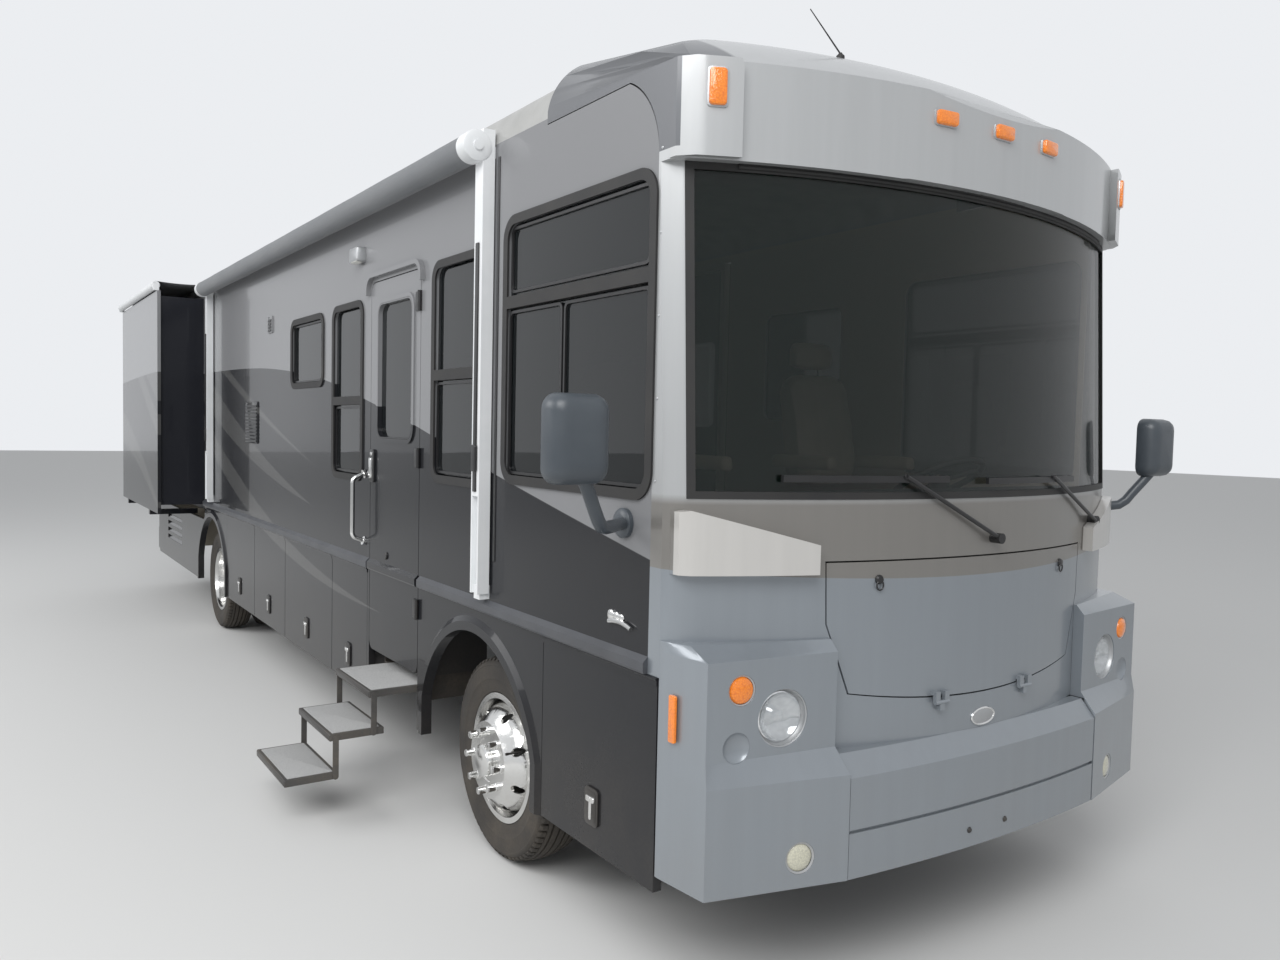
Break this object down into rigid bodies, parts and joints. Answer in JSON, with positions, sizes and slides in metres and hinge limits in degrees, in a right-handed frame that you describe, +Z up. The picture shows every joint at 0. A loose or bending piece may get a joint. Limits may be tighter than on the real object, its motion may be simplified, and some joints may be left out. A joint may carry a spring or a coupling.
{
  "type": "motorhome",
  "caption": "Class A motor coach with curved windshield, hinged doors and bays, slide-out rooms, folding entry steps, steering and free-turning wheels.",
  "frame": {"origin": "on the ground under the centre of the coach's bounding box", "axes": "+Z up, -Y towards the nose, +X towards the driver's side, Y along the coach's length"},
  "size_m": [3.9, 10.9998, 3.74],
  "materials": {
    "body_paint": "satin",
    "cap_paint": "gloss",
    "fascia_paint": "satin",
    "glass": "gloss",
    "lamp": "gloss",
    "rail_trim": "satin",
    "awning_metal": "satin",
    "awning_fabric": "woven",
    "frame_steel": "satin",
    "tread_grit": "rough",
    "deck": "matte",
    "bay_liner": "matte",
    "wheel_metal": "polished",
    "tyre": "matte",
    "dash_plastic": "grained",
    "seat_leather": "soft",
    "roof_plastic": "satin"
  },
  "bodies": {
    "coach": {"awning_arms": "awning_metal", "awning_roller": "awning_fabric", "axles": "frame_steel", "bay_tray_by_door": "bay_liner", "bay_trays": "bay_liner", "bedroom_topper_fabric": "awning_fabric", "cab_seats": "seat_leather", "chassis_frame": "frame_steel", "dashboard": "dash_plastic", "engine_block": "frame_steel", "floor_deck": "deck", "front_bumper": "fascia_paint", "front_cap": "cap_paint", "front_lamps": "lamp", "grab_handle": "awning_metal", "mirrors": "rail_trim", "rear_cap": "body_paint", "rear_lamps": "lamp", "roof": "cap_paint", "roof_units": "roof_plastic", "rub_rails": "rail_trim", "side_wall_left": "body_paint", "side_wall_right": "body_paint", "side_windows": "glass", "skirts": "body_paint", "step_frame": "frame_steel", "window_frames": "dash_plastic", "windshield": "glass", "wipers": "dash_plastic"},
    "hood": {"hood_panel": "fascia_paint"},
    "entry_door": {"entry_door": "body_paint", "entry_door_glass": "glass"},
    "bedroom_slide": {"bedroom_slide": "body_paint", "bedroom_topper": "awning_metal"},
    "living_slide": {"living_slide": "body_paint", "living_slide_glass": "glass"},
    "step_upper": {"step_upper": "tread_grit"},
    "step_links_upper": {"step_links_upper": "frame_steel"},
    "step_middle": {"step_middle": "tread_grit"},
    "step_links_lower": {"step_links_lower": "frame_steel"},
    "step_lower": {"step_lower": "tread_grit"},
    "knuckle_right": {"knuckle_right": "frame_steel"},
    "knuckle_left": {"knuckle_left": "frame_steel"},
    "front_wheel_right": {"front_tyre_right": "tyre", "front_rim_right": "wheel_metal"},
    "front_wheel_left": {"front_tyre_left": "tyre", "front_rim_left": "wheel_metal"},
    "rear_wheels_right": {"rear_tyres_right": "tyre", "rear_rims_right": "wheel_metal"},
    "rear_wheels_left": {"rear_tyres_left": "tyre", "rear_rims_left": "wheel_metal"},
    "steering_wheel": {"steering_wheel": "dash_plastic"},
    "bay_door_left_1": {"bay_door_left_1": "body_paint"},
    "bay_door_left_2": {"bay_door_left_2": "body_paint"},
    "bay_door_left_3": {"bay_door_left_3": "body_paint"},
    "bay_door_right_1": {"bay_door_right_1": "body_paint"},
    "bay_door_right_2": {"bay_door_right_2": "body_paint"},
    "bay_door_right_3": {"bay_door_right_3": "body_paint"},
    "bay_door_right_4": {"bay_door_right_4": "body_paint"},
    "bay_door_right_5": {"bay_door_right_5": "body_paint"}
  },
  "joints": [
    {"name": "hood_hinge", "type": "hinge", "parent": "coach", "child": "hood", "pos_m": [0, -5.446, 1.034], "axis": [1, 0, 0], "range_deg": [0, 80]},
    {"name": "entry_door_hinge", "type": "hinge", "parent": "coach", "child": "entry_door", "pos_m": [-1.29, -2.91, 1.7], "axis": [0, 0, 1], "range_deg": [0, 100]},
    {"name": "bedroom_slide_travel", "type": "slide", "parent": "coach", "child": "bedroom_slide", "axis": [1, 0, 0], "range_m": [0, 0.384], "deforming": ["bedroom_topper_fabric"]},
    {"name": "living_slide_travel", "type": "slide", "parent": "coach", "child": "living_slide", "axis": [-1, 0, 0], "range_m": [0, 0.634]},
    {"name": "steps_slide", "type": "slide", "parent": "coach", "child": "step_upper", "axis": [1, 0, 0], "range_m": [0, 0.32]},
    {"name": "step_links_upper_pivot", "type": "hinge", "parent": "step_upper", "child": "step_links_upper", "pos_m": [-1.505, -2.6, 0.624], "axis": [0, -1, 0], "range_deg": [-1, 80]},
    {"name": "step_middle_pivot", "type": "hinge", "parent": "step_links_upper", "child": "step_middle", "pos_m": [-1.505, -2.6, 0.429], "axis": [0, -1, 0], "range_deg": [-80, 1]},
    {"name": "step_links_lower_pivot", "type": "hinge", "parent": "step_middle", "child": "step_links_lower", "pos_m": [-1.7, -2.6, 0.429], "axis": [0, -1, 0], "range_deg": [-1, 80]},
    {"name": "step_lower_pivot", "type": "hinge", "parent": "step_links_lower", "child": "step_lower", "pos_m": [-1.7, -2.6, 0.234], "axis": [0, -1, 0], "range_deg": [-80, 1]},
    {"name": "steer_right", "type": "hinge", "parent": "coach", "child": "knuckle_right", "pos_m": [-0.925, -3.69, 0.475], "axis": [0, 0, 1], "range_deg": [-38, 38]},
    {"name": "steer_left", "type": "hinge", "parent": "coach", "child": "knuckle_left", "pos_m": [0.925, -3.69, 0.475], "axis": [0, 0, 1], "range_deg": [-38, 38]},
    {"name": "front_wheel_right_spin", "type": "hinge", "parent": "knuckle_right", "child": "front_wheel_right", "pos_m": [-1.078, -3.69, 0.475], "axis": [1, 0, 0], "continuous": true},
    {"name": "front_wheel_left_spin", "type": "hinge", "parent": "knuckle_left", "child": "front_wheel_left", "pos_m": [1.078, -3.69, 0.475], "axis": [1, 0, 0], "continuous": true},
    {"name": "rear_wheels_right_spin", "type": "hinge", "parent": "coach", "child": "rear_wheels_right", "pos_m": [-0.9175, 2.41, 0.475], "axis": [1, 0, 0], "continuous": true},
    {"name": "rear_wheels_left_spin", "type": "hinge", "parent": "coach", "child": "rear_wheels_left", "pos_m": [0.9175, 2.41, 0.475], "axis": [1, 0, 0], "continuous": true},
    {"name": "steering_wheel_turn", "type": "hinge", "parent": "coach", "child": "steering_wheel", "pos_m": [0.62, -4.715, 1.74], "axis": [0, 0.4878, 0.8729], "range_deg": [-580, 580]},
    {"name": "bay_door_left_1_hinge", "type": "hinge", "parent": "coach", "child": "bay_door_left_1", "pos_m": [1.283, 0, 1.1637], "axis": [0, -1, 0], "range_deg": [0, 88]},
    {"name": "bay_door_left_2_hinge", "type": "hinge", "parent": "coach", "child": "bay_door_left_2", "pos_m": [1.283, 0, 1.1637], "axis": [0, -1, 0], "range_deg": [0, 88]},
    {"name": "bay_door_left_3_hinge", "type": "hinge", "parent": "coach", "child": "bay_door_left_3", "pos_m": [1.283, 0, 1.1637], "axis": [0, -1, 0], "range_deg": [0, 88]},
    {"name": "bay_door_right_1_hinge", "type": "hinge", "parent": "coach", "child": "bay_door_right_1", "pos_m": [-1.283, 0, 1.1637], "axis": [0, 1, 0], "range_deg": [0, 88]},
    {"name": "bay_door_right_2_hinge", "type": "hinge", "parent": "coach", "child": "bay_door_right_2", "pos_m": [-1.283, 0, 1.1637], "axis": [0, 1, 0], "range_deg": [0, 88]},
    {"name": "bay_door_right_3_hinge", "type": "hinge", "parent": "coach", "child": "bay_door_right_3", "pos_m": [-1.283, 0, 1.1637], "axis": [0, 1, 0], "range_deg": [0, 88]},
    {"name": "bay_door_right_4_hinge", "type": "hinge", "parent": "coach", "child": "bay_door_right_4", "pos_m": [-1.283, 0, 1.1637], "axis": [0, 1, 0], "range_deg": [0, 88]},
    {"name": "bay_door_right_5_hinge", "type": "hinge", "parent": "coach", "child": "bay_door_right_5", "pos_m": [-1.283, 0, 1.1637], "axis": [0, 1, 0], "range_deg": [0, 88]}
  ],
  "couplings": [
    {"joint": "step_links_upper_pivot", "follows": "steps_slide", "rad_per_m": 4.0906},
    {"joint": "step_middle_pivot", "follows": "steps_slide", "rad_per_m": -4.0906},
    {"joint": "step_links_lower_pivot", "follows": "steps_slide", "rad_per_m": 4.0906},
    {"joint": "step_lower_pivot", "follows": "steps_slide", "rad_per_m": -4.0906},
    {"joint": "steer_left", "follows": "steer_right", "ratio": 1},
    {"joint": "steering_wheel_turn", "follows": "steer_right", "ratio": 15}
  ]
}
